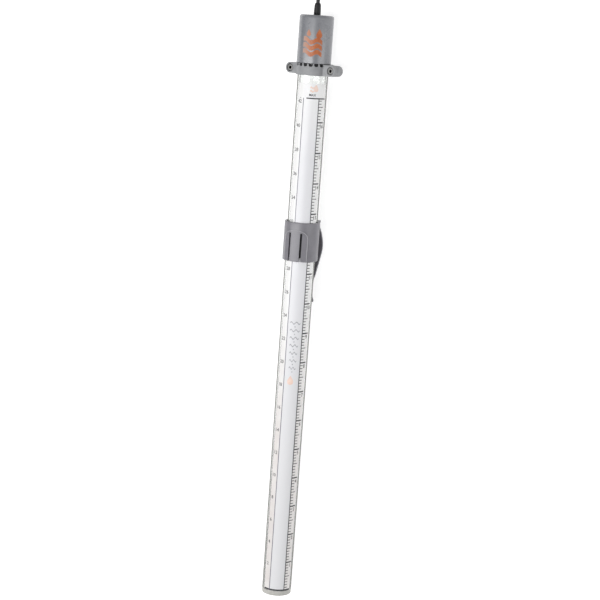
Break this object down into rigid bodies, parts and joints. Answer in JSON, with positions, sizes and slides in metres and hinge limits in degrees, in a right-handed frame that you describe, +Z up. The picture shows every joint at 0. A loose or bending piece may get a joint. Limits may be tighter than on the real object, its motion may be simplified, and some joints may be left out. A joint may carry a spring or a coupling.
{
  "type": "liquid level sensor",
  "caption": "Clear tube liquid level sensor with a printed depth scale, a grey sealed head, a sliding wall clip and a thin coiled lead.",
  "frame": {"origin": "on the surface it lies on, under the middle of the sensor's bounding box, without its lead", "axes": "+Y along the tube from its open end towards the head, +Z up from the surface, +X to the right seen from the open end"},
  "size_m": [0.0854, 0.5922, 0.0455],
  "materials": {
    "clear_acrylic": "clear, polished, a little grey at the edges",
    "printed_film": "printed film, satin",
    "cap_plastic": "bluish grey, fine moulded grain",
    "collar_plastic": "bluish grey, satin",
    "clip_plastic": "dark grey, satin",
    "screw_steel": "plain stainless",
    "seal_rubber": "black",
    "black_plastic": "black",
    "green_laminate": "circuit board",
    "header_plastic": "ivory",
    "can_aluminium": "satin",
    "cable_jacket": "black, soft sheen"
  },
  "bodies": {
    "sensor": {"tube": "clear_acrylic", "scale_label": "printed_film", "collar_front": "collar_plastic", "collar_rear": "collar_plastic", "collar_screw_left": "screw_steel", "collar_screw_right": "screw_steel", "collar_nut_left": "screw_steel", "collar_nut_right": "screw_steel", "head_cap": "cap_plastic", "sensor_plug": "black_plastic", "plug_seal_lower": "seal_rubber", "plug_seal_upper": "seal_rubber", "cap_seal": "seal_rubber", "port_seal": "seal_rubber", "pressure_sensor": "can_aluminium", "sensor_board": "green_laminate", "controller_chip": "black_plastic", "interface_chip": "black_plastic", "smoothing_capacitor": "can_aluminium", "board_header": "header_plastic", "lead_tail": "cable_jacket", "strain_relief": "cable_jacket", "cord": "cable_jacket", "cord_coil": "cable_jacket", "cord_tie": "seal_rubber", "cord_end": "cable_jacket", "plug_boot": "black_plastic", "plug_shell": "can_aluminium", "plug_insert": "black_plastic"},
    "slider": {"grip_liner": "seal_rubber"},
    "clip": {"clip_sleeve": "clip_plastic"},
    "arm": {"clip_arm": "clip_plastic"}
  },
  "joints": [
    {"name": "clip_slide", "type": "slide", "parent": "sensor", "child": "slider", "axis": [0, 0.9996, -0.0288], "range_m": [-0.285, 0.12]},
    {"name": "clip_swivel", "type": "hinge", "parent": "slider", "child": "clip", "pos_m": [-0.00034, 0.05718, 0.02385], "axis": [0, 0.9996, -0.0288], "continuous": true},
    {"name": "arm_flex", "type": "hinge", "parent": "clip", "child": "arm", "pos_m": [-0.00034, 0.07081, 0.00728], "axis": [1, 0, 0], "range_deg": [0, 8], "stiffness_Nm_per_rad": 2}
  ]
}
